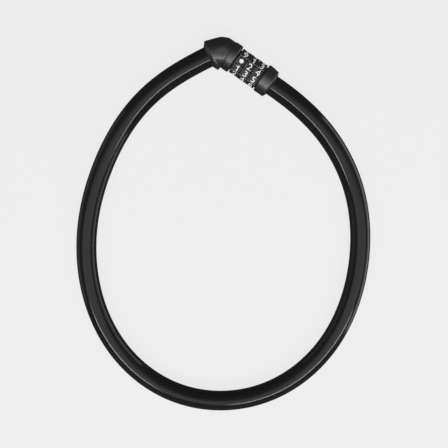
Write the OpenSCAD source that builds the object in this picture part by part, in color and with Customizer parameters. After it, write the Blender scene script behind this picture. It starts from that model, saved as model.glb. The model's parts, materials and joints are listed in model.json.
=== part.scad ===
// Cable lock with a three-dial combination barrel, an elbow plug and a closed cable loop.
// Millimetres. The closed lock lies flat on the plane z = 0. +X runs along the dial axis from the
// plug to the end cap, +Y points out of the loop, and the origin is the middle of the loop.

/* [Barrel] */
// Height of the dial axis above the surface that the lock lies on
axis_z = 8.6; // [8.6:0.1:9.4]
// Distance of the dial axis from the middle of the loop
axis_y = 84.3; // [84:0.1:84.6]
// Where the first dial starts along the axis
barrel_x = -48.7; // [-49:0.1:-48.4]
// Thickness of the axle wall that the dials turn on
axle_wall = 1.25; // [1.1:0.05:1.3]

/* [Dials] */
// Number of dials
dial_count = 3; // [3:1:3]
// Outer radius of a dial
dial_r = 8; // [7.8:0.1:8.1]
// Width of a dial along the axis
dial_w = 5.5; // [5.4:0.05:5.55]
// Distance from one dial to the next
dial_pitch = 5.7; // [5.65:0.05:5.75]
// Depth of the grooves between the digit faces
groove_depth = 0.5; // [0.3:0.1:0.8]

/* [Plug] */
// Outer radius of the collar next to the dials
collar_r = 8.6; // [8.3:0.1:8.6]
// Length of the collar
collar_l = 5; // [4.9:0.05:5.1]
// Outer radius of the straight part of the elbow
elbow_r = 8.1; // [7.9:0.1:8.4]
// Bend of the elbow away from the dial axis
elbow_bend = 60; // [59:1:61]
// How far the bolt reaches into the barrel, from the first dial
bolt_reach = 16.2; // [16.15:0.05:16.25]

/* [End cap] */
// Outer radius of the end cap
cap_r = 8.35; // [8.1:0.05:8.5]
// Height of the raised grip on the outer side of the cap
cap_grip = 0.5; // [0.3:0.1:0.6]

/* [Cable] */
// Outer diameter of the cable with its sleeve
cable_d = 12; // [11.8:0.1:12]
// Diameter of the steel rope inside the sleeve
rope_d = 6; // [5:0.5:6]
// Gap between the two stretches of the cable, on the plug's side of the loop
split_gap = 0.3; // [0.2:0.1:0.5]

/* [Hidden] */
$fn = 64;

fit = 0.05;        // running clearance on the axle
slack = 0.02;      // clearance between pieces that are fixed to each other
digits = 10;
face_step = 360 / digits;
face_turn = 12;    // turn of the first digit face, from +Y towards +Z
lug_turn = 270;    // the lugs and gates point down
detent_turn = 90;  // the detent spring points up

// Axle, bolt and tumblers
tube_r = 3;
tube_bore = tube_r - axle_wall;
bolt_r = 1.6;
lug_r = 4.2;
lug_w = 1.7;
lug_l = 1.8;
lug_at = 2.7;      // from the start of each dial
slot_w = 2;
slot_end = bolt_reach - 0.2;
gate_w = 2.4;
web_at = 0.5;
web_l = 1.9;
web_bore = tube_r + fit;
ring_bore = 5.4;   // where the tumbler sits in the dial ring
drum_bore = 4.5;   // where the lugs have room to turn
notch_r = 0.5;
face_r = 7.85;     // from the axis to a digit face
groove_w = 0.9;
edge = 0.3;        // bevel on the rims

// Places along the axis, from the start of the first dial
front_face = -0.55;
front_ring_l = 0.45;
front_ring_r = 6.2;
washer_at = 17;
washer_l = 0.6;
washer_r = 6.9;
cap_at = washer_at + washer_l;
cap_end = 24.15;
cap_mouth = 25.2;
mouth_r = cable_d / 2 + 0.15;
cap_shoulder = 20;
cap_sleeve_at = 22.9;
tube_head_r = 4.2;
spring_seat = 18.4;
cap_pin_at = 19.2;
ferrule_r = 4.2;
pin_r = 0.6;
collar_at = -0.7;
elbow_at = collar_at - collar_l;
elbow_back = -10.3;
plug_core_r = 4.8;
plug_core_end = -7.9;
bolt_tail = -6.2;
bolt_pin_at = -3.4;
head_pin_at = -7.1;
elbow_vertex = -10.2;
knuckle_r = 7.55;

// Detent spring
detent_w = 1.6;
detent_low = 2.55;
detent_high = 2.95;
detent_from = 0.6;
detent_to = 16.5;
detent_crest = 4.3;
detent_at = 3.7;   // middle of each crest, from the start of its dial
detent_foot = 1;   // half length of a crest at the strip

// Ejector spring and its cup
cup_at = bolt_reach + 0.05;
cup_l = 0.5;
wire_r = 0.2;
coil_turns = 3;
coil_steps = 12;
coil_from = cup_at + cup_l + wire_r + slack;
coil_to = spring_seat - wire_r - slack;
coil_r = tube_bore - 2 * wire_r;
coil = [for (i = [0:coil_turns * coil_steps])
    [coil_r * cos(360 * i / coil_steps), coil_r * sin(360 * i / coil_steps),
     coil_from + (coil_to - coil_from) * i / (coil_turns * coil_steps)]];

// Places along the branch of the elbow, from its vertex
ferrule_at = 3.3;
sleeve_at = 6.7;
rim_at = 7;
mouth_at = 8.9;
rim_r = 8.5;
rim_l = 0.6;

cable_sides = 12;
cap_rope_at = 20.5;
plug_rope_at = 3.7;
branch = [-cos(elbow_bend), -sin(elbow_bend), 0];
vertex = [barrel_x + elbow_vertex, axis_y, axis_z];

// Middle line of the cable from the end cap round to the plug
cable_route = [
    [barrel_x + cap_sleeve_at, axis_y, axis_z], [-16, axis_y, axis_z], [-7, 84, 8.3],
    [7.5, 82.3, 7.4], [21.5, 78.5, 6.7], [34.5, 73, 6.2], [47, 66, 6], [58, 57, 6],
    [68, 46.5, 6], [76.5, 34.5, 6], [84, 21.5, 6], [90, 6.5, 6], [94, -9.5, 6],
    [95.5, -27, 6], [93, -45.5, 6], [87, -63, 6], [76.5, -79, 6], [62.5, -92, 6],
    [46, -101, 6], [27, -106, 6], [8, -105.5, 6], [-10, -101.5, 6], [-26, -93.5, 6],
    [-40, -83.5, 6], [-51.5, -72, 6], [-61, -59, 6], [-68.5, -46.5, 6], [-74, -33, 6],
    [-78, -19.5, 6], [-81, -5.5, 6], [-82.5, 9, 6], [-82.5, 23.5, 6], [-80, 39, 6.3],
    [-75, 54.5, 7], [-68, 68.8, 8.1], vertex + (mouth_at + 1) * branch,
    vertex + sleeve_at * branch];
split_at = 28;
cable_end = len(cable_route) - 1;

// The rope runs on past the sleeve, into the ferrules
rope_route = concat([[barrel_x + cap_rope_at, axis_y, axis_z]], cable_route,
                    [vertex + plug_rope_at * branch]);

function unit(v) = v / norm(v);
function heading(route, i) =
    unit(route[min(i + 1, len(route) - 1)] - route[max(i - 1, 0)]);

// One ring of points square to the route; reference is never along the route
function ring(route, i, r, sides, reference, shift = 0) =
    let (ahead = heading(route, i), across = unit(cross(reference, ahead)),
         above = cross(ahead, across))
    [for (k = [0:sides - 1])
        route[i] + shift * ahead
        + r * (cos(360 * k / sides) * across + sin(360 * k / sides) * above)];

// Triangles of a strip between two rows of rings whose points start at a and b
function strip(a, b, sides) =
    [for (k = [0:sides - 1]) let (n = (k + 1) % sides)
        each [[a + k, b + n, b + k], [a + k, a + n, b + n]]];

// Solid rod along part of a route
module rod(route, first, last, r, sides, reference, shift = 0) {
    rings = last - first + 1;
    top = (rings - 1) * sides;
    points = [for (i = [first:last]) each ring(route, i, r, sides, reference,
                                               i == first ? shift : 0)];
    walls = [for (i = [0:rings - 2]) each strip(i * sides, (i + 1) * sides, sides)];
    polyhedron(points, concat(walls, [[for (k = [sides - 1:-1:0]) k],
                                      [for (k = [0:sides - 1]) top + k]]));
}

// Hollow sleeve along part of a route
module sleeve(route, first, last, r, bore, sides, shift = 0) {
    rings = last - first + 1;
    inner = rings * sides;
    top = (rings - 1) * sides;
    up = [0, 0, 1];
    skin = function (radius) [for (i = [first:last])
        each ring(route, i, radius, sides, up, i == first ? shift : 0)];
    outside = [for (i = [0:rings - 2]) each strip(i * sides, (i + 1) * sides, sides)];
    inside = [for (i = [0:rings - 2])
        each strip(inner + (i + 1) * sides, inner + i * sides, sides)];
    ends = concat(strip(inner, 0, sides), strip(top, inner + top, sides));
    polyhedron(concat(skin(r), skin(bore)), concat(outside, inside, ends));
}

// Turns a shape drawn upwards so that it runs along the dial axis, starting at x
module on_axis(x = 0) {
    translate([barrel_x + x, axis_y, axis_z]) rotate([90, 0, 90]) children();
}

// The same along the branch of the elbow, from its vertex
module on_branch(distance = 0) {
    translate(vertex + distance * branch) rotate([90, 0, elbow_bend - 90]) children();
}

// A ring or disc with a straight bore
module ring_shape(r, bore, length) {
    difference() {
        cylinder(r = r, h = length);
        translate([0, 0, -1]) cylinder(r = bore, h = length + 2);
    }
}

// A block that reaches out from the axis, w wide
module spoke(w, from, to, length) {
    translate([from, -w / 2, 0]) cube([to - from, w, length]);
}

// A cross pin from low to high, square to the dial axis and to the surface
module upright_pin(r, low, high) {
    rotate([-90, 0, 0]) translate([0, 0, low]) cylinder(r = r, h = high - low);
}

// Axle of the dials: slotted for the bolt, closed at the cap end
module core_tube() {
    color("lightgrey") on_axis() difference() {
        union() {
            translate([0, 0, front_face]) cylinder(r = tube_r, h = cap_shoulder - front_face);
            translate([0, 0, cap_at]) cylinder(r = tube_head_r, h = cap_shoulder - cap_at);
        }
        translate([0, 0, front_face - 1]) cylinder(r = tube_bore, h = spring_seat - front_face + 1);
        rotate(lug_turn) translate([0, 0, front_face - 1])
            spoke(slot_w, 0, tube_r + 1, slot_end - front_face + 1);
        rotate(detent_turn) translate([0, 0, detent_from])
            spoke(detent_w + 2 * slack, detent_low - slack, tube_r + 1, detent_to - detent_from);
        translate([0, 0, cap_pin_at]) upright_pin(pin_r + slack, -tube_head_r - 1, tube_head_r + 1);
    }
}

// Ring on the open end of the axle that keeps the dials on
module front_ring() {
    color("darkgrey") on_axis(front_face) difference() {
        ring_shape(front_ring_r, tube_r + slack, front_ring_l);
        rotate(lug_turn) translate([0, 0, -1]) spoke(gate_w, 0, drum_bore, front_ring_l + 2);
    }
}

// Washer between the last dial and the end cap
module rear_washer() {
    color("dimgrey") on_axis(washer_at) ring_shape(washer_r, tube_r + slack, washer_l);
}

// One strip of spring steel in the top of the axle, with a crest under each dial
module detent_spring() {
    color("silver") on_axis() rotate(detent_turn) rotate([90, 0, 0])
        translate([0, 0, -detent_w / 2]) linear_extrude(detent_w) {
            translate([detent_low, detent_from + slack])
                square([detent_high - detent_low, detent_to - detent_from - 2 * slack]);
            for (n = [0:dial_count - 1]) translate([detent_low, n * dial_pitch + detent_at])
                polygon([[0, -detent_foot], [detent_crest - detent_low, -detent_foot / 3],
                         [detent_crest - detent_low, detent_foot / 3], [0, detent_foot]]);
        }
}

// Moulded cap that holds the axle and the fixed end of the cable
module end_cap() {
    color([0.11, 0.11, 0.12]) on_axis() difference() {
        union() {
            translate([0, 0, cap_at]) cylinder(r1 = cap_r - edge, r2 = cap_r, h = edge);
            translate([0, 0, cap_at + edge]) cylinder(r = cap_r, h = cap_end - cap_at - edge);
            translate([0, 0, cap_end]) cylinder(r1 = cap_r, r2 = mouth_r, h = cap_mouth - cap_end);
            intersection() {
                translate([0, 0, cap_at + edge]) cylinder(r = cap_r + cap_grip, h = 4);
                translate([0, -cap_r * 0.6, cap_at]) cube([cap_r * 2, cap_r * 1.2, 6]);
            }
        }
        translate([0, 0, cap_at - 1]) cylinder(r = tube_head_r + slack, h = cap_sleeve_at - cap_at);
        translate([0, 0, cap_shoulder - 1])
            cylinder(r = ferrule_r + slack, h = cap_sleeve_at - cap_shoulder + 2);
        translate([0, 0, cap_sleeve_at]) cylinder(r = cable_d / 2 + fit, h = 5);
        translate([0, 0, cap_pin_at]) upright_pin(pin_r + slack, -cap_r + 1, cap_r - 1);
        translate([0, 0, (cap_shoulder + cap_sleeve_at) / 2])
            upright_pin(pin_r + slack, -cap_r + 1, -rope_d / 2 - fit);
    }
}

// Pin through the end cap and the closed end of the axle
module cap_pin() {
    color("silver") on_axis(cap_pin_at) upright_pin(pin_r, -cap_r + 1.1, cap_r - 1.1);
}

// Crimped sleeve on the rope, with a cross hole for its pin
module ferrule(length) {
    difference() {
        ring_shape(ferrule_r, rope_d / 2 + fit, length);
        translate([0, 0, length / 2]) upright_pin(pin_r + slack, -ferrule_r - 1, 0);
    }
}

module cap_ferrule() {
    color("gainsboro") on_axis(cap_shoulder) ferrule(cap_sleeve_at - cap_shoulder);
}

module cap_ferrule_pin() {
    color("silver") on_axis((cap_shoulder + cap_sleeve_at) / 2)
        upright_pin(pin_r, -cap_r + 1.1, -rope_d / 2 - 2 * fit);
}

// Spring that pushes the bolt out when the gates line up
module ejector_spring() {
    color("silver") on_axis() rod(coil, 0, coil_turns * coil_steps, wire_r, 6, [0, 0, 1]);
}

// Cup between the spring and the tip of the bolt
module spring_cup() {
    color("gold") on_axis(cup_at) cylinder(r = tube_bore - fit, h = cup_l);
}

// One dial: ten flat digit faces with a groove at every corner
module dial_ring(n) {
    corner_r = face_r / cos(face_step / 2);
    color([0.13, 0.13, 0.14]) on_axis((n - 1) * dial_pitch) difference() {
        intersection() {
            rotate(face_turn + face_step / 2) cylinder(r = corner_r, h = dial_w, $fn = digits);
            union() {
                cylinder(r1 = dial_r - edge, r2 = dial_r, h = edge);
                translate([0, 0, edge]) cylinder(r = dial_r, h = dial_w - 2 * edge);
                translate([0, 0, dial_w - edge]) cylinder(r1 = dial_r, r2 = dial_r - edge, h = edge);
            }
        }
        translate([0, 0, -1]) cylinder(r = ring_bore, h = dial_w + 2);
        for (k = [0:digits - 1]) rotate(face_turn + face_step * (k + 0.5))
            translate([dial_r - groove_depth, -groove_w / 2, -1])
                cube([2, groove_w, dial_w + 2]);
    }
}

// Metal drum inside a dial: a web with the gate, and ten notches for the detent
module tumbler(n) {
    color("darkkhaki") on_axis((n - 1) * dial_pitch) difference() {
        union() {
            ring_shape(ring_bore - slack, drum_bore, dial_w);
            translate([0, 0, web_at]) ring_shape(drum_bore + 0.2, web_bore, web_l);
        }
        rotate(lug_turn) translate([0, 0, web_at - 0.2]) spoke(gate_w, 0, drum_bore, web_l + 0.4);
        for (k = [0:digits - 1]) rotate(detent_turn + face_step * k)
            translate([drum_bore, 0, web_at + web_l]) cylinder(r = notch_r, h = dial_w);
    }
}

// Elbow that turns the cable away from the dial axis
module elbow_housing() {
    color([0.11, 0.11, 0.12]) difference() {
        hull() {
            on_axis(elbow_back) cylinder(r = elbow_r, h = elbow_at - elbow_back, $fn = 48);
            on_axis(elbow_back) sphere(r = knuckle_r, $fn = 32);
            on_branch(rim_at - rim_l) cylinder(r = rim_r, h = rim_l, $fn = 48);
            on_branch(mouth_at - edge) cylinder(r = mouth_r, h = edge, $fn = 48);
        }
        on_axis(elbow_at) cylinder(r = collar_r, h = 10);
        on_axis(plug_core_end) cylinder(r = plug_core_r, h = 10);
        on_axis(head_pin_at) upright_pin(pin_r + slack, -elbow_r + 1, elbow_r - 1);
        on_branch(ferrule_at) cylinder(r = ferrule_r + slack, h = sleeve_at);
        on_branch(sleeve_at) cylinder(r = cable_d / 2 + fit, h = 10);
        on_branch((ferrule_at + sleeve_at) / 2)
            upright_pin(pin_r + slack, -elbow_r + 1, -rope_d / 2 - fit);
    }
}

// Collar between the elbow and the dials
module collar() {
    color([0.1, 0.1, 0.11]) on_axis(elbow_at) difference() {
        union() {
            cylinder(r1 = collar_r - edge, r2 = collar_r, h = edge);
            translate([0, 0, edge]) cylinder(r = collar_r, h = collar_l - 2 * edge);
            translate([0, 0, collar_l - edge]) cylinder(r1 = collar_r, r2 = collar_r - edge, h = edge);
        }
        translate([0, 0, -1]) cylinder(r = plug_core_r, h = collar_l + 2);
    }
}

// Metal block in the plug that carries the bolt
module plug_core() {
    color("darkgrey") on_axis() difference() {
        translate([0, 0, plug_core_end + slack])
            cylinder(r = plug_core_r - slack, h = collar_at - plug_core_end - slack);
        translate([0, 0, bolt_tail - slack]) cylinder(r = bolt_r + slack, h = 10);
        translate([0, 0, bolt_pin_at]) upright_pin(pin_r + slack, -plug_core_r - 1, plug_core_r + 1);
        translate([0, 0, head_pin_at]) upright_pin(pin_r + slack, -plug_core_r - 1, plug_core_r + 1);
    }
}

// Bolt with one lug for each tumbler
module locking_bolt() {
    color("lightsteelblue") on_axis() difference() {
        union() {
            translate([0, 0, bolt_tail]) cylinder(r = bolt_r, h = bolt_reach - bolt_tail);
            for (n = [0:dial_count - 1]) rotate(lug_turn)
                translate([0, 0, n * dial_pitch + lug_at]) spoke(lug_w, 0, lug_r, lug_l);
        }
        translate([0, 0, bolt_pin_at]) upright_pin(pin_r + slack, -bolt_r - 1, bolt_r + 1);
    }
}

// Pin through the metal block and the bolt
module bolt_pin() {
    color("silver") on_axis(bolt_pin_at) upright_pin(pin_r, -plug_core_r + 0.1, plug_core_r - 0.1);
}

// Pin through the elbow and the metal block
module head_pin() {
    color("silver") on_axis(head_pin_at) upright_pin(pin_r, -elbow_r + 1.1, elbow_r - 1.1);
}

module plug_ferrule() {
    color("gainsboro") on_branch(ferrule_at) ferrule(sleeve_at - ferrule_at);
}

module plug_ferrule_pin() {
    color("silver") on_branch((ferrule_at + sleeve_at) / 2)
        upright_pin(pin_r, -elbow_r + 1.1, -rope_d / 2 - 2 * fit);
}

module cable_sleeve_fixed() {
    color([0.07, 0.07, 0.08])
        sleeve(cable_route, 0, split_at, cable_d / 2, rope_d / 2 + 0.1, cable_sides);
}

module cable_sleeve_plug() {
    color([0.07, 0.07, 0.08])
        sleeve(cable_route, split_at, cable_end, cable_d / 2, rope_d / 2 + 0.1, cable_sides,
               split_gap);
}

module cable_rope_fixed() {
    color("slategrey")
        rod(rope_route, 0, split_at + 1, rope_d / 2, cable_sides, [0, 0, 1]);
}

module cable_rope_plug() {
    color("slategrey")
        rod(rope_route, split_at + 1, cable_end + 2, rope_d / 2, cable_sides, [0, 0, 1], split_gap);
}

core_tube();
front_ring();
rear_washer();
detent_spring();
end_cap();
cap_pin();
cap_ferrule();
cap_ferrule_pin();
ejector_spring();
spring_cup();
cable_sleeve_fixed();
cable_rope_fixed();
dial_ring(1);  // dial_ring_1
dial_ring(2);  // dial_ring_2
dial_ring(3);  // dial_ring_3
tumbler(1);  // tumbler_1
tumbler(2);  // tumbler_2
tumbler(3);  // tumbler_3
elbow_housing();
collar();
plug_core();
locking_bolt();
bolt_pin();
head_pin();
plug_ferrule();
plug_ferrule_pin();
cable_sleeve_plug();
cable_rope_plug();
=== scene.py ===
"""Cable combination lock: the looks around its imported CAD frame. Lengths are in metres."""
import json
import math

import bmesh
import bpy
import numpy as np
from mathutils import Matrix, Vector


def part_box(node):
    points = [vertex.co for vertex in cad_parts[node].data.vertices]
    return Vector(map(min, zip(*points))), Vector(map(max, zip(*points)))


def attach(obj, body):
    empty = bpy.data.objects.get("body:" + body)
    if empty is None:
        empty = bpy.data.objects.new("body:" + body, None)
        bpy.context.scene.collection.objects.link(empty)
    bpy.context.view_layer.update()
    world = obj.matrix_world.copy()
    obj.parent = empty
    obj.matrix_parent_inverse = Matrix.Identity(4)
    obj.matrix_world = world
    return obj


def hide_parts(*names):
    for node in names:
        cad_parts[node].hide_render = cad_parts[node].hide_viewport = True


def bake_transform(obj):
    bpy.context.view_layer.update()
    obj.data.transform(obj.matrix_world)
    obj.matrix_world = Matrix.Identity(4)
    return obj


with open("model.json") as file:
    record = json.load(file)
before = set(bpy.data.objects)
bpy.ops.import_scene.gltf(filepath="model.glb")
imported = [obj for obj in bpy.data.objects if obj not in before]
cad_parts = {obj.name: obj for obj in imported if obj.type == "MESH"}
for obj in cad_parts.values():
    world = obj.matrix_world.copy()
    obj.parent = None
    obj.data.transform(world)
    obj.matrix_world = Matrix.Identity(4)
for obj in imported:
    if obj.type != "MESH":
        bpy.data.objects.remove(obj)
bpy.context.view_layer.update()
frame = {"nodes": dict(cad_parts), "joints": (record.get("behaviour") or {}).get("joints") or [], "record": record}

MM = 0.001
TURN = 2 * math.pi

# ---------------------------------------------------------------- places, from the frame

JOINTS = {joint["name"]: joint for joint in frame["joints"]}
_, AXIS_Y, AXIS_Z = JOINTS["dial_1_turn"]["pos_m"]
DIALS = (1, 2, 3)


def span(node):
    """Where a CAD node starts and ends along the dial axis."""
    low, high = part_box(node)
    return low.x, high.x


def on_axis(x):
    return Vector((x, AXIS_Y, AXIS_Z))


def axis_frame(origin, along, side):
    """Matrix of a place whose Z runs along an axis and whose X points to one side of it."""
    along = along.normalized()
    side = (side - side.dot(along) * along).normalized()
    place = Matrix((side, along.cross(side), along)).transposed().to_4x4()
    place.translation = origin
    return place


COLLAR_START, COLLAR_END = span("collar")
CAP_START, CAP_MOUTH = span("end_cap")
PLUG_CORE_START, _ = span("plug_core")
OUT = Vector((0, 1, 0))                      # from the loop out through the dials
UP = Vector((0, 0, 1))
BARREL = axis_frame(on_axis(0), Vector((1, 0, 0)), OUT)

ELBOW_VERTEX = on_axis(COLLAR_START - 4.5 * MM)   # where the barrel's and the branch's axes meet
ferrule_low, ferrule_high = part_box("plug_ferrule")
BRANCH_WAY = ((ferrule_low + ferrule_high) / 2 - ELBOW_VERTEX).normalized()
BRANCH = axis_frame(ELBOW_VERTEX, BRANCH_WAY, OUT)

# ---------------------------------------------------------------- sizes

DIAL_R = 8.0 * MM
FACE_R = 7.85 * MM                           # from the axis to a digit face
DIGITS = 10
FACE_STEP = TURN / DIGITS
FACE_TURN = math.radians(15)                 # of the first face, from OUT towards UP
GROOVE_ROOT_R = 7.3 * MM                     # from the axis to the bottom of a groove
GROOVE_BEND = 0.15 * MM                      # rounding of its bottom and edges
DISH = 0.33 * MM                             # hollow of a digit face, across the dial
DIAL_BORE = 5.4 * MM
DIGIT_H = 3.85 * MM
DIGIT_W = 2.8 * MM
DIGIT_SHIFT = 0.4 * MM                       # off the middle of a dial, towards the cap
DIGIT_PROUD = 0.05 * MM
DIGIT_ROOT = 0.25 * MM
DOT_R = 1.25 * MM
DIAL_RIM = 0.35 * MM                         # fillet of a dial's two rims
DIAL_SIDES = 400
SLICE = 0.4 * MM                             # width of the strips that let a digit follow its face

COLLAR_R = 8.6 * MM
ELBOW_R, ELBOW_LEAN = 8.4 * MM, 0.2 * MM     # its barrel leans to the inside of the bend
ELBOW_BACK = COLLAR_START - 4.6 * MM
KNUCKLE_R = 7.5 * MM
SHOULDER_AT, SHOULDER_R = ELBOW_BACK - 0.9 * MM, 7.85 * MM
PLUG_CORE_R = 4.8 * MM
RIM_AT, RIM_R, RIM_L = 7 * MM, 8.5 * MM, 0.6 * MM
RIM_WIDEN = 0.45 * MM
CROOK = 0.45 * MM                            # hollow on the inside of the bend
WEB_LEVEL = 0.9 * ELBOW_R                    # past it, above or below, a web spans the bend
ELBOW_SEAT = COLLAR_START + 2 * MM           # the elbow is made this long, then bored to length
ELBOW_VOXEL = 0.22 * MM
ELBOW_BLEND = 1.6 * MM                       # from the rim to where the smoothing is full
ELBOW_SMOOTHING, LAST_SMOOTHING = 45, 3      # iterations behind the rim, then all over
BORE_PAST = 10 * MM                          # how far the cutters run past the elbow
COLLAR_FLARE = 1 * MM                        # length of the slope from the elbow up to the collar
COLLAR_FRONT, COLLAR_INNER = 0.9 * MM, 0.2 * MM   # its fillets
MOUTH_AT = 8.9 * MM
SLEEVE_AT = 6.7 * MM
FERRULE_AT = 3.3 * MM
FERRULE_R = 4.22 * MM

CAP_R = 8.35 * MM
CAP_GRIP = 0.5 * MM
GRIP_HALF, GRIP_FADE = math.radians(30), math.radians(10)   # of the grip, each side of OUT
GRIP_FLAT = 2 * MM                           # full height this far from the dials
CAP_FRONT, CAP_BACK, CAP_LIP = 0.6 * MM, 0.5 * MM, 0.06 * MM   # fillets
CAP_END = CAP_MOUTH - 1.05 * MM
CAP_SLEEVE = CAP_MOUTH - 2.3 * MM

CABLE_R = 6 * MM
CABLE_RECESS = CABLE_R + 0.05 * MM
MOUTH_R = CABLE_R + 0.15 * MM
ROPE_R = 3 * MM
SLEEVE_BORE = 3.1 * MM

# ---------------------------------------------------------------- meshes


def piece(name, points, faces, sharp=30):
    """Mesh object in the row frame, smooth but for edges sharper than an angle in degrees."""
    mesh = bpy.data.meshes.new(name)
    mesh.from_pydata([tuple(p) for p in points], [], faces)
    bm = bmesh.new()
    bm.from_mesh(mesh)
    bmesh.ops.recalc_face_normals(bm, faces=bm.faces)
    bm.to_mesh(mesh)
    bm.free()
    return shown(name, mesh, sharp)


def shown(name, mesh, sharp=30):
    made = bpy.data.objects.new(name, mesh)
    bpy.context.scene.collection.objects.link(made)
    smooth(made, sharp)
    return made


def smooth(made, sharp=30):
    made.data.polygons.foreach_set("use_smooth", [True] * len(made.data.polygons))
    made.data.set_sharp_from_angle(angle=math.radians(sharp))


def rounded(corners, steps=6):
    """Closed outline through corners (along, radius, fillet), each rounded by an arc."""
    outline = []
    for i, (along, radius, fillet) in enumerate(corners):
        here = Vector((along, radius))
        if not fillet:
            outline.append(here)
            continue
        back = (Vector(corners[i - 1][:2]) - here).normalized()
        ahead = (Vector(corners[(i + 1) % len(corners)][:2]) - here).normalized()
        half = back.angle(ahead) / 2
        centre = here + (back + ahead).normalized() * fillet / math.sin(half)
        first = here + back * fillet / math.tan(half) - centre
        sweep = first.angle_signed(here + ahead * fillet / math.tan(half) - centre)
        for k in range(steps + 1):
            outline.append(centre + Matrix.Rotation(-sweep * k / steps, 2) @ first)
    return outline


def lathe(name, outline, place, sides=128, swell=None):
    """Solid of revolution of a closed outline about a place's Z; swell adds to the radius."""
    points, faces = [], []
    for k in range(sides):
        turn = TURN * k / sides
        for along, radius in outline:
            reach = radius + (swell(along, radius, turn) if swell else 0)
            points.append(place @ Vector((reach * math.cos(turn), reach * math.sin(turn), along)))
    count = len(outline)
    for k in range(sides):
        here, there = k * count, (k + 1) % sides * count
        for i in range(count):
            n = (i + 1) % count
            faces.append((here + i, here + n, there + n, there + i))
    return piece(name, points, faces)


def modified(made, kind, **settings):
    """Applies one modifier to an object's mesh."""
    modifier = made.modifiers.new(kind, kind)
    for key, value in settings.items():
        setattr(modifier, key, value)
    graph = bpy.context.evaluated_depsgraph_get()
    mesh = bpy.data.meshes.new_from_object(made.evaluated_get(graph))
    made.modifiers.clear()
    made.data = mesh
    return made


def cut(made, *cutters):
    for cutter in cutters:
        modified(made, "BOOLEAN", operation="DIFFERENCE", solver="EXACT", object=cutter)
        bpy.data.objects.remove(cutter)
    smooth(made)
    return made


def ease(share):
    """0 to 1 with level ends."""
    share = min(max(share, 0), 1)
    return share * share * (3 - 2 * share)


# ---------------------------------------------------------------- materials


class Nodes:
    """A Principled material and short ways to add nodes to it."""

    def __init__(self, name, **settings):
        self.material = bpy.data.materials.new(name)
        self.material.use_nodes = True
        self.tree = self.material.node_tree
        self.shader = self.tree.nodes["Principled BSDF"]
        for key, value in settings.items():
            self.shader.inputs[key].default_value = value
        self.where = self.add("ShaderNodeTexCoord").outputs["Object"]

    def add(self, kind, **settings):
        node = self.tree.nodes.new(kind)
        for key, value in settings.items():
            if key in node.inputs:
                node.inputs[key].default_value = value
            else:
                setattr(node, key, value)
        return node

    def link(self, a, b):
        self.tree.links.new(a, b)

    def noise(self, size, detail=2, stretch=(1, 1, 1)):
        """Noise with features of one size in metres, stretched along an axis."""
        place = self.add("ShaderNodeMapping")
        place.inputs["Scale"].default_value = [1 / s for s in stretch]
        node = self.add("ShaderNodeTexNoise", Scale=1 / size, Detail=detail)
        self.link(self.where, place.inputs["Vector"])
        self.link(place.outputs["Vector"], node.inputs["Vector"])
        return node.outputs["Fac"]

    def colours(self, factor, dark, light):
        ramp = self.add("ShaderNodeValToRGB")
        ramp.color_ramp.elements[0].position = 0.3
        ramp.color_ramp.elements[1].position = 0.7
        ramp.color_ramp.elements[0].color = (*dark, 1)
        ramp.color_ramp.elements[1].color = (*light, 1)
        self.link(factor, ramp.inputs["Fac"])
        self.link(ramp.outputs["Color"], self.shader.inputs["Base Color"])

    def roughness(self, factor, low, high):
        spread = self.add("ShaderNodeMapRange")
        spread.inputs["To Min"].default_value = low
        spread.inputs["To Max"].default_value = high
        self.link(factor, spread.inputs["Value"])
        self.link(spread.outputs["Result"], self.shader.inputs["Roughness"])

    def bump(self, height, depth, strength=1.0):
        node = self.add("ShaderNodeBump", Distance=depth, Strength=strength)
        self.link(height, node.inputs["Height"])
        self.link(node.outputs["Normal"], self.shader.inputs["Normal"])


def grey(level, warm=0.0):
    return (level * (1 + warm), level, level * (1 - warm))


def moulded(name, dark, light, smooth_low, smooth_high, grain, depth, gloss):
    """Satin moulded plastic: fine spark-eroded grain and faint flow marks.

    Darker and with a higher index of refraction than real plastic: fitted to the photograph
    under this studio's lights.
    """
    made = Nodes(name, IOR=1.7)
    made.shader.inputs["Specular IOR Level"].default_value = gloss
    flow = made.noise(6 * MM, 3, (2, 1, 1))
    made.colours(flow, grey(dark), grey(light))
    made.roughness(flow, smooth_low, smooth_high)
    made.bump(made.noise(grain, 4), depth)
    return made.material


def extruded(name):
    """Glossy PVC sleeve over a dark core, with the faint lines of its die."""
    made = Nodes(name, IOR=1.5)
    made.shader.inputs["Specular IOR Level"].default_value = 0.25
    made.colours(made.noise(30 * MM, 2), grey(0.009, 0.02), grey(0.012, 0.02))
    made.roughness(made.noise(12 * MM, 3), 0.08, 0.14)
    made.bump(made.noise(9 * MM, 1), 0.02 * MM, 0.4)
    return made.material


def metal(name, colour, low, high, grain, stretch, depth):
    made = Nodes(name, Metallic=1.0)
    marks = made.noise(grain, 4, stretch)
    made.colours(marks, tuple(c * 0.8 for c in colour), colour)
    made.roughness(marks, low, high)
    made.bump(marks, depth)
    return made.material


def paint(name):
    """White filled digits, a little uneven."""
    made = Nodes(name)
    made.colours(made.noise(0.8 * MM, 3), grey(0.86), grey(0.94))
    made.roughness(made.noise(0.5 * MM, 2), 0.4, 0.55)
    made.bump(made.noise(0.3 * MM, 2), 0.01 * MM)
    return made.material


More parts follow.
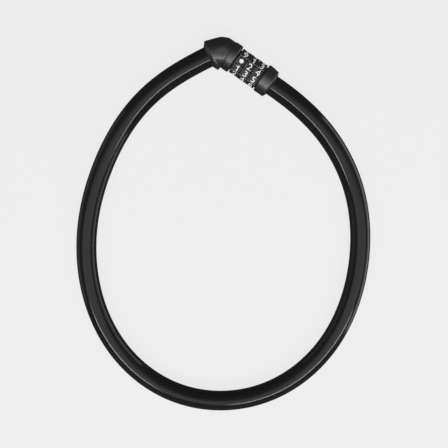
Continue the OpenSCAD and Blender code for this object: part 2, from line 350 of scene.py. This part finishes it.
MATERIALS = {
    "black_plastic": moulded("black_plastic", 0.004, 0.007, 0.42, 0.48, 0.25 * MM, 0.012 * MM,
                             0.75),
    "collar_plastic": moulded("collar_plastic", 0.004, 0.007, 0.42, 0.48, 0.25 * MM, 0.012 * MM,
                              0.75),
    "dial_plastic": moulded("dial_plastic", 0.004, 0.008, 0.34, 0.42, 0.2 * MM, 0.01 * MM, 0.6),
    "dark_nylon": moulded("dark_nylon", 0.01, 0.016, 0.5, 0.6, 0.2 * MM, 0.01 * MM, 0.3),
    "numeral_white": paint("numeral_white"),
    "cable_sleeve": extruded("cable_sleeve"),
    "steel_rope": metal("steel_rope", (0.5, 0.5, 0.5), 0.3, 0.45, 0.5 * MM, (6, 1, 1), 0.02 * MM),
    "steel": metal("steel", (0.62, 0.62, 0.6), 0.22, 0.34, 0.15 * MM, (1, 8, 8), 0.004 * MM),
    "spring_steel": metal("spring_steel", (0.5, 0.5, 0.48), 0.25, 0.35, 0.2 * MM, (8, 1, 1),
                          0.003 * MM),
    "zinc": metal("zinc", (0.48, 0.49, 0.5), 0.4, 0.55, 0.6 * MM, (1, 1, 1), 0.01 * MM),
    "brass": metal("brass", (0.72, 0.56, 0.27), 0.28, 0.4, 0.3 * MM, (1, 4, 4), 0.004 * MM),
}


def finish_as(made, slot):
    made.data.materials.clear()
    made.data.materials.append(MATERIALS[slot])
    return made


# ---------------------------------------------------------------- cable

# The route of the CAD cable, from the end cap round to the plug, in millimetres
BEND_ROUTE = [
    (-16, 84.3, 8.6), (-7, 84, 8.3), (7.5, 82.3, 7.4), (21.5, 78.5, 6.7), (34.5, 73, 6.2),
    (47, 66, 6), (58, 57, 6), (68, 46.5, 6), (76.5, 34.5, 6), (84, 21.5, 6), (90, 6.5, 6),
    (94, -9.5, 6), (95.5, -27, 6), (93, -45.5, 6), (87, -63, 6), (76.5, -79, 6),
    (62.5, -92, 6), (46, -101, 6), (27, -106, 6), (8, -105.5, 6), (-10, -101.5, 6),
    (-26, -93.5, 6), (-40, -83.5, 6), (-51.5, -72, 6), (-61, -59, 6), (-68.5, -46.5, 6),
    (-74, -33, 6), (-78, -19.5, 6), (-81, -5.5, 6), (-82.5, 9, 6), (-82.5, 23.5, 6),
    (-80, 39, 6.3), (-75, 54.5, 7), (-68, 68.8, 8.1)]
CABLE_ROUTE = [on_axis(CAP_SLEEVE), *[Vector(p) * MM for p in BEND_ROUTE],
               BRANCH @ Vector((0, 0, MOUTH_AT + MM)), BRANCH @ Vector((0, 0, SLEEVE_AT))]
CABLE_STEP = 1.5 * MM
CABLE_SIDES = 56
STIFFNESS = 2e4                              # of the line, against its pull to the route
END_WEIGHT = 500                             # pull of the route's two points at each end
ROPE_PAST_CAP, ROPE_PAST_PLUG = 2.4 * MM, 3 * MM   # how far the rope runs on past the sleeve
ROPE_STRANDS = 6
ROPE_LAY = 42 * MM                           # length of one turn of a strand


def steady_line(route):
    """Points close together on the line of steadiest curvature along a route."""
    route = np.array(route)
    along = np.concatenate([[0], np.cumsum(np.linalg.norm(np.diff(route, axis=0), axis=1))])
    count = round(along[-1] / CABLE_STEP)
    at = along / along[-1] * count
    low = np.minimum(at.astype(int), count - 1)
    rows = np.arange(len(route))
    pick = np.zeros((len(route), count + 1))
    pick[rows, low] = 1 - (at - low)
    pick[rows, low + 1] = at - low
    weight = np.ones(len(route))
    weight[[0, 1, -2, -1]] = END_WEIGHT
    change = np.diff(np.eye(count + 1), 3, axis=0)
    pull = pick.T * weight
    return np.linalg.solve(pull @ pick + STIFFNESS * change.T @ change, pull @ route)


def rings_along(line, sides, radius):
    """Points of one ring per point of a line; radius is a function of turn and distance."""
    ahead = np.gradient(line, axis=0)
    ahead /= np.linalg.norm(ahead, axis=1)[:, None]
    across = np.cross((0, 0, 1), ahead)
    across /= np.linalg.norm(across, axis=1)[:, None]
    above = np.cross(ahead, across)
    gone = np.concatenate([[0], np.cumsum(np.linalg.norm(np.diff(line, axis=0), axis=1))])
    turn = TURN * np.arange(sides) / sides
    reach = radius(turn[None, :], gone[:, None])[..., None]
    ring = (np.cos(turn)[None, :, None] * across[:, None, :]
            + np.sin(turn)[None, :, None] * above[:, None, :])
    return (line[:, None, :] + reach * ring).reshape(-1, 3)


def strips(rows, sides, start=0):
    """Quads between neighbouring rings."""
    return [(start + i * sides + k, start + i * sides + (k + 1) % sides,
             start + (i + 1) * sides + (k + 1) % sides, start + (i + 1) * sides + k)
            for i in range(rows - 1) for k in range(sides)]


def make_sleeve(line):
    rows, sides = len(line), CABLE_SIDES
    outer = rings_along(line, sides, lambda turn, gone: CABLE_R + 0 * turn + 0 * gone)
    inner = rings_along(line, sides, lambda turn, gone: SLEEVE_BORE + 0 * turn + 0 * gone)
    hole = rows * sides
    ends = [(a + k, a + (k + 1) % sides, hole + a + (k + 1) % sides, hole + a + k)
            for a in (0, (rows - 1) * sides) for k in range(sides)]
    return piece("cable_sleeve", np.concatenate([outer, inner]),
                 strips(rows, sides) + strips(rows, sides, hole) + ends)


def make_rope(line):
    """Six laid strands drawn as one lobed, twisted rod."""
    rows, sides = len(line), ROPE_STRANDS * 8
    strand = ROPE_R / 3

    def lobes(turn, gone):
        off = (turn - TURN * gone / ROPE_LAY) % (TURN / ROPE_STRANDS) - TURN / ROPE_STRANDS / 2
        middle = ROPE_R - strand
        return middle * np.cos(off) + np.sqrt(strand ** 2 - (middle * np.sin(off)) ** 2)

    last = (rows - 1) * sides
    return piece("cable_rope", rings_along(line, sides, lobes),
                 strips(rows, sides) + [tuple(range(sides)), tuple(range(last, last + sides))], 60)


sleeve_line = steady_line(CABLE_ROUTE)
sleeve = make_sleeve(sleeve_line)
rope_line = np.concatenate([[on_axis(CAP_SLEEVE - ROPE_PAST_CAP)], sleeve_line,
                            [BRANCH @ Vector((0, 0, SLEEVE_AT - ROPE_PAST_PLUG))]])
rope = make_rope(rope_line)
for made, nodes, slot in ((sleeve, ("cable_sleeve_fixed", "cable_sleeve_plug"), "cable_sleeve"),
                          (rope, ("cable_rope_fixed", "cable_rope_plug"), "steel_rope")):
    finish_as(made, slot)
    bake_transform(made)
    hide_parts(*nodes)

# ---------------------------------------------------------------- plug


def circle(place, along, radius, widen=0, sides=96):
    """Ring of points, widened in the plane of the loop."""
    return [place @ Vector(((radius + widen) * math.cos(TURN * k / sides),
                            radius * math.sin(TURN * k / sides), along)) for k in range(sides)]


def ball(centre, radius, rows=32, sides=64):
    return [centre + radius * Vector((math.cos(TURN * k / sides) * math.sin(math.pi * i / rows),
                                      math.sin(TURN * k / sides) * math.sin(math.pi * i / rows),
                                      math.cos(math.pi * i / rows)))
            for i in range(rows + 1) for k in range(sides)]


def wrapped(name, *groups):
    """One mesh with a skin stretched over each group of points; the skins overlap."""
    mesh = bpy.data.meshes.new(name)
    whole = bmesh.new()
    for points in groups:
        bm = bmesh.new()
        for p in points:
            bm.verts.new(p)
        bmesh.ops.remove_doubles(bm, verts=bm.verts, dist=1e-6)
        skin = bmesh.ops.convex_hull(bm, input=bm.verts)
        inside = {e for e in skin["geom_interior"] + skin["geom_unused"]
                  if isinstance(e, bmesh.types.BMVert)}
        bmesh.ops.delete(bm, geom=list(inside), context="VERTS")
        bm.to_mesh(mesh)
        bm.free()
        whole.from_mesh(mesh)
    whole.to_mesh(mesh)
    whole.free()
    return shown(name, mesh)


def make_elbow():
    leaned = axis_frame(on_axis(0) - ELBOW_LEAN * OUT, UP.cross(OUT) * -1, OUT)
    back = circle(leaned, ELBOW_BACK, ELBOW_R) + circle(BARREL, SHOULDER_AT, SHOULDER_R)
    rings = (circle(leaned, ELBOW_SEAT, ELBOW_R) + circle(leaned, ELBOW_BACK, ELBOW_R)
             + circle(BRANCH, RIM_AT - RIM_L, RIM_R, RIM_WIDEN))
    elbow = wrapped("elbow", back + circle(leaned, ELBOW_SEAT, ELBOW_R),
                    [p for p in rings if p.z > AXIS_Z + WEB_LEVEL],
                    [p for p in rings if p.z < AXIS_Z - WEB_LEVEL],
                    back + ball(on_axis(ELBOW_BACK), KNUCKLE_R)
                    + circle(BRANCH, RIM_AT - RIM_L, RIM_R, RIM_WIDEN)
                    + circle(BRANCH, RIM_AT, RIM_R, RIM_WIDEN) + circle(BRANCH, MOUTH_AT, MOUTH_R),
                    circle(leaned, ELBOW_SEAT, ELBOW_R, -CROOK)
                    + circle(BRANCH, RIM_AT - RIM_L, RIM_R, -CROOK))
    modified(elbow, "REMESH", mode="VOXEL", voxel_size=ELBOW_VOXEL)
    behind_rim = elbow.vertex_groups.new(name="behind_rim")
    to_branch = BRANCH.inverted()
    for v in elbow.data.vertices:
        share = ease((RIM_AT - RIM_L - (to_branch @ v.co).z) / ELBOW_BLEND)
        behind_rim.add([v.index], share, "REPLACE")
    modified(elbow, "SMOOTH", factor=0.5, iterations=ELBOW_SMOOTHING, vertex_group="behind_rim")
    modified(elbow, "SMOOTH", factor=0.5, iterations=LAST_SMOOTHING)
    bore = [(PLUG_CORE_START, 0), (PLUG_CORE_START, PLUG_CORE_R), (COLLAR_START, PLUG_CORE_R),
            (COLLAR_START, ELBOW_R + MM), (COLLAR_START + BORE_PAST, ELBOW_R + MM),
            (COLLAR_START + BORE_PAST, 0)]
    recess = [(FERRULE_AT, 0), (FERRULE_AT, FERRULE_R), (SLEEVE_AT, FERRULE_R),
              (SLEEVE_AT, CABLE_RECESS), (SLEEVE_AT + BORE_PAST, CABLE_RECESS),
              (SLEEVE_AT + BORE_PAST, 0)]
    return cut(elbow, lathe("bore", bore, BARREL, 96), lathe("recess", recess, BRANCH, 96))


def make_collar():
    back, front, flare = COLLAR_START, COLLAR_END, COLLAR_FLARE
    rise = [(back + flare * k / 10, ELBOW_R + (COLLAR_R - ELBOW_R) * ease(k / 10), 0)
            for k in range(11)]
    outline = rounded([(back, PLUG_CORE_R, 0), *rise, (front, COLLAR_R, COLLAR_FRONT),
                       (front, PLUG_CORE_R, COLLAR_INNER)])
    return lathe("collar_shell", outline, BARREL)


for made, node, slot in ((make_elbow(), "elbow_housing", "black_plastic"),
                         (make_collar(), "collar", "collar_plastic")):
    finish_as(made, slot)
    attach(made, "plug")
    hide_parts(node)

# ---------------------------------------------------------------- end cap


def make_cap():
    def grip(along, radius, turn):
        if radius < CAP_R - CAP_FRONT:
            return 0
        side = abs((turn + math.pi) % TURN - math.pi)
        wide = 1 - ease((side - GRIP_HALF) / GRIP_FADE)
        long = 1 - ease((along - CAP_START - GRIP_FLAT) / (CAP_END - CAP_START - GRIP_FLAT))
        return CAP_GRIP * wide * long

    run = [(CAP_START + k * 0.5 * MM, CAP_R, 0) for k in range(2, 12)]
    outline = rounded([(CAP_START, FERRULE_R, 0), (CAP_START, CAP_R, CAP_FRONT), *run,
                       (CAP_END, CAP_R, CAP_BACK), (CAP_MOUTH, MOUTH_R, CAP_LIP),
                       (CAP_MOUTH, CABLE_RECESS, 0), (CAP_SLEEVE, CABLE_RECESS, 0),
                       (CAP_SLEEVE, FERRULE_R, 0)])
    return lathe("cap_shell", outline, BARREL, swell=grip)


cap = finish_as(make_cap(), "black_plastic")
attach(cap, "lock_body")
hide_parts("end_cap")

# ---------------------------------------------------------------- dials


def face_radius(along, start, end):
    """From the axis to a digit face, which is a little hollow across the dial."""
    share = (along - start) / (end - start)
    return FACE_R - DISH * 4 * share * (1 - share)


def lesser(a, b):
    """The smaller of two radii, blended where they are close."""
    near = max(GROOVE_BEND - abs(a - b), 0) / GROOVE_BEND
    return min(a, b) - near * near * GROOVE_BEND / 4


def make_dial(name, start, end):
    def shape(along, radius, turn):
        if radius < DIAL_BORE + MM:
            return 0
        off = (turn - FACE_TURN + FACE_STEP / 2) % FACE_STEP - FACE_STEP / 2
        flat = face_radius(along, start, end) / math.cos(off)
        valley = GROOVE_ROOT_R + math.hypot((FACE_STEP / 2 - abs(off)) * DIAL_R, GROOVE_BEND)
        return lesser(lesser(flat, DIAL_R), valley) - DIAL_R

    run = [(start + (end - start) * k / 16, DIAL_R, 0) for k in range(2, 15)]
    outline = rounded([(start, DIAL_BORE, 0), (start, DIAL_R, DIAL_RIM), *run,
                       (end, DIAL_R, DIAL_RIM), (end, DIAL_BORE, 0)])
    return lathe(name, outline, BARREL, sides=DIAL_SIDES, swell=shape)


# Outline of a one with its flag, as shares of the digits' height
ONE = [(0.02, -0.5), (0.18, -0.5), (0.18, 0.5), (0.06, 0.5), (-0.2, 0.33), (-0.2, 0.18),
       (0.02, 0.31)]


def glyph(digit):
    """Flat mesh of a digit, reading along X and centred; zero is a round dot."""
    bm = bmesh.new()
    if digit == 0:
        bmesh.ops.create_circle(bm, cap_ends=True, segments=48, radius=DOT_R)
        return bm
    if digit == 1:
        bm.faces.new([bm.verts.new((x * DIGIT_H, y * DIGIT_H, 0)) for x, y in ONE])
        return bm
    curve = bpy.data.curves.new("digit", "FONT")
    curve.body = str(digit)
    writer = bpy.data.objects.new("digit", curve)
    bpy.context.scene.collection.objects.link(writer)
    graph = bpy.context.evaluated_depsgraph_get()
    bm.from_mesh(bpy.data.meshes.new_from_object(writer.evaluated_get(graph)))
    bpy.data.objects.remove(writer)
    xs = [v.co.x for v in bm.verts]
    ys = [v.co.y for v in bm.verts]
    wide, tall = max(xs) - min(xs), max(ys) - min(ys)
    scale = DIGIT_H / tall
    stretch = min(scale * 1.05, DIGIT_W / wide)
    for v in bm.verts:
        v.co = Vector(((v.co.x - (max(xs) + min(xs)) / 2) * stretch,
                       (v.co.y - (max(ys) + min(ys)) / 2) * scale, 0))
    return bm


def make_numerals(name, dial, start, end):
    """The ten digits of a dial, as thin fillings that follow its hollow faces."""
    middle = (start + end) / 2 + DIGIT_SHIFT
    points, faces = [], []
    for face in range(DIGITS):
        digit = (2 * (dial - 1) + face - 2) % DIGITS
        bm = glyph(digit)
        for k in range(-5, 6):
            bmesh.ops.bisect_plane(bm, geom=bm.verts[:] + bm.edges[:] + bm.faces[:],
                                   plane_co=(k * SLICE, 0, 0), plane_no=(1, 0, 0))
        bmesh.ops.triangulate(bm, faces=bm.faces)
        sheet = bm.faces[:]
        grown = bmesh.ops.extrude_face_region(bm, geom=sheet)
        tops = {e for e in grown["geom"] if isinstance(e, bmesh.types.BMVert)}
        turn = FACE_TURN + FACE_STEP * face
        out = Vector((math.cos(turn), math.sin(turn), 0))
        up = Vector((math.sin(turn), -math.cos(turn), 0))
        for v in bm.verts:
            along = middle + v.co.x
            reach = face_radius(along, start, end) + (DIGIT_PROUD if v in tops else -DIGIT_ROOT)
            v.co = BARREL @ (reach * out + v.co.y * up + Vector((0, 0, along)))
        bmesh.ops.recalc_face_normals(bm, faces=bm.faces)
        # bmesh leaves these faces in an order that changes from run to run, so they are sorted
        ordered = sorted(bm.verts, key=lambda v: tuple(v.co))
        place = {v: len(points) + i for i, v in enumerate(ordered)}
        rings = [[place[v] for v in f.verts] for f in bm.faces]
        faces += sorted(ring[ring.index(min(ring)):] + ring[:ring.index(min(ring))]
                        for ring in rings)
        points += [v.co.copy() for v in ordered]
        bm.free()
    return piece(name, points, faces)


for n in DIALS:
    start, end = span(f"dial_ring_{n}")
    dial = finish_as(make_dial(f"dial_{n}_shell", start, end), "dial_plastic")
    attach(dial, f"dial_{n}")
    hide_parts(f"dial_ring_{n}")
    numerals = finish_as(make_numerals(f"dial_{n}_digits", n, start, end), "numeral_white")
    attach(numerals, f"dial_{n}")

# ---------------------------------------------------------------- CAD pieces that stay

for row in frame["record"]["subparts"]:
    node = frame["nodes"][row["node"]]
    if not node.hide_render:
        finish_as(node, row["material_slot"])
        smooth(node)

# ---------------------------------------------------------------- studio

FLOOR_SIZE = 8.0
FLOOR_COLOUR, FLOOR_GLOW = 0.05, 0.802
WORLD_LIGHT, WORLD_SEEN = 0.08, 0.85
VIEW_TURN = math.radians(34.26)              # of the picture's right, from +X towards +Y
VIEW_TILT = math.radians(7.5)
VIEW_DISTANCE = 0.383
STRIP_TURN = VIEW_TURN - math.radians(6.8)
STRIP_UP, STRIP_DEEP, STRIP_GLOW = 0.95, 0.16, 15
SOFTBOX_GLOW, SOFTBOX_FADE = (1.5, 0.15), (-0.25, 0.4)
FILL_SIZE, FILL_GLOW = 3.0, 1.2
CARD_LOW = -0.35                             # lower edge of the two cards
RIGHT = Vector((math.cos(VIEW_TURN), math.sin(VIEW_TURN), 0))
ACROSS = Vector((-math.sin(VIEW_TURN), math.cos(VIEW_TURN), 0))


def make_camera():
    data = bpy.data.cameras.new("camera")
    data.lens = 50
    data.sensor_width = 36
    camera = bpy.data.objects.new("camera", data)
    bpy.context.scene.collection.objects.link(camera)
    camera.location = VIEW_DISTANCE * (math.sin(VIEW_TILT) * ACROSS + math.cos(VIEW_TILT) * UP)
    camera.rotation_euler = (-VIEW_TILT, 0, VIEW_TURN)
    bpy.context.scene.camera = camera


def make_floor():
    """Plain floor, pale because it glows as evenly as the photograph's background.

    Its own colour is nearly black and reflections don't see it, so it takes hardly any shadow.
    """
    half = FLOOR_SIZE / 2
    floor = piece("floor", [(-half, -half, 0), (half, -half, 0), (half, half, 0), (-half, half, 0)],
                  [(0, 1, 2, 3)])
    paper = Nodes("floor", Roughness=0.9)
    paper.shader.inputs["Base Color"].default_value = (*grey(FLOOR_COLOUR), 1)
    paper.shader.inputs["Specular IOR Level"].default_value = 0.0
    paper.shader.inputs["Emission Color"].default_value = (1, 1, 1, 1)
    paper.shader.inputs["Emission Strength"].default_value = FLOOR_GLOW
    floor.data.materials.append(paper.material)
    floor.visible_glossy = False


def panel(name, middle, wide, deep, low_glow, high_glow, turn=VIEW_TURN, tilt=0.0, fade=None):
    """Glowing panel, level or tilted; its glow goes from low to high across it, or across fade."""
    points = [(x * wide / 2, y * deep / 2, 0) for x, y in ((-1, -1), (1, -1), (1, 1), (-1, 1))]
    light = piece(name, points, [(0, 1, 2, 3)])
    light.location = middle
    light.rotation_euler = (tilt, 0, turn)
    light.visible_camera = False
    material = bpy.data.materials.new(name)
    material.use_nodes = True
    tree = material.node_tree
    tree.nodes.clear()
    output = tree.nodes.new("ShaderNodeOutputMaterial")
    emission = tree.nodes.new("ShaderNodeEmission")
    where = tree.nodes.new("ShaderNodeTexCoord")
    split = tree.nodes.new("ShaderNodeSeparateXYZ")
    shade = tree.nodes.new("ShaderNodeMapRange")
    shade.interpolation_type = "SMOOTHSTEP" if fade else "LINEAR"
    shade.inputs["From Min"].default_value, shade.inputs["From Max"].default_value = (
        fade or (-deep / 2, deep / 2))
    shade.inputs["To Min"].default_value = low_glow
    shade.inputs["To Max"].default_value = high_glow
    tree.links.new(where.outputs["Object"], split.inputs["Vector"])
    tree.links.new(split.outputs["Y"], shade.inputs["Value"])
    tree.links.new(shade.outputs["Result"], emission.inputs["Strength"])
    tree.links.new(emission.outputs["Emission"], output.inputs["Surface"])
    light.data.materials.append(material)
    return light


def card(name, way, wide, low, high, low_glow, high_glow):
    """Upright panel a metre away, from low to high; way is its bearing from the picture's right."""
    bearing = VIEW_TURN + math.radians(way)
    middle = Vector((math.cos(bearing), math.sin(bearing), (low + high) / 2))
    panel(name, middle, wide, high - low, low_glow, high_glow, bearing + math.pi / 2, math.pi / 2)


def make_lights():
    """Soft panels, and two narrow strips that give the cable the photograph's long streaks."""
    for name, right, across, wide in (("left_strip", -0.535, -0.606, 0.63),
                                      ("right_strip", 0.635, -0.745, 1.23)):
        panel(name, right * RIGHT + across * ACROSS + STRIP_UP * UP, wide, STRIP_DEEP,
              STRIP_GLOW, STRIP_GLOW, STRIP_TURN)
    panel("softbox", 0.35 * RIGHT + 0.99 * UP, 2.3, 1.24, *SOFTBOX_GLOW, fade=SOFTBOX_FADE)
    card("right_card", 0, 1.5, CARD_LOW, 0.25, 3.0, 1.2)
    card("left_card", 175, 1.2, CARD_LOW, 0.3, 0.5, 0.5)
    fill = panel("fill", 1.5 * UP, FILL_SIZE, FILL_SIZE, FILL_GLOW, FILL_GLOW)
    fill.visible_glossy = False
    # The world is paler to the camera than as a light, so that the floor's far edge, seen in low
    # views, isn't dark
    world = bpy.data.worlds.new("studio")
    bpy.context.scene.world = world
    world.use_nodes = True
    tree = world.node_tree
    backdrop = tree.nodes["Background"]
    backdrop.inputs["Color"].default_value = (1, 1, 1, 1)
    path = tree.nodes.new("ShaderNodeLightPath")
    shade = tree.nodes.new("ShaderNodeMapRange")
    shade.inputs["To Min"].default_value, shade.inputs["To Max"].default_value = (
        WORLD_LIGHT, WORLD_SEEN)
    tree.links.new(path.outputs["Is Camera Ray"], shade.inputs["Value"])
    tree.links.new(shade.outputs["Result"], backdrop.inputs["Strength"])


make_camera()
make_floor()
make_lights()
bpy.context.scene.view_settings.view_transform = "Standard"
bpy.context.scene.view_settings.look = "None"
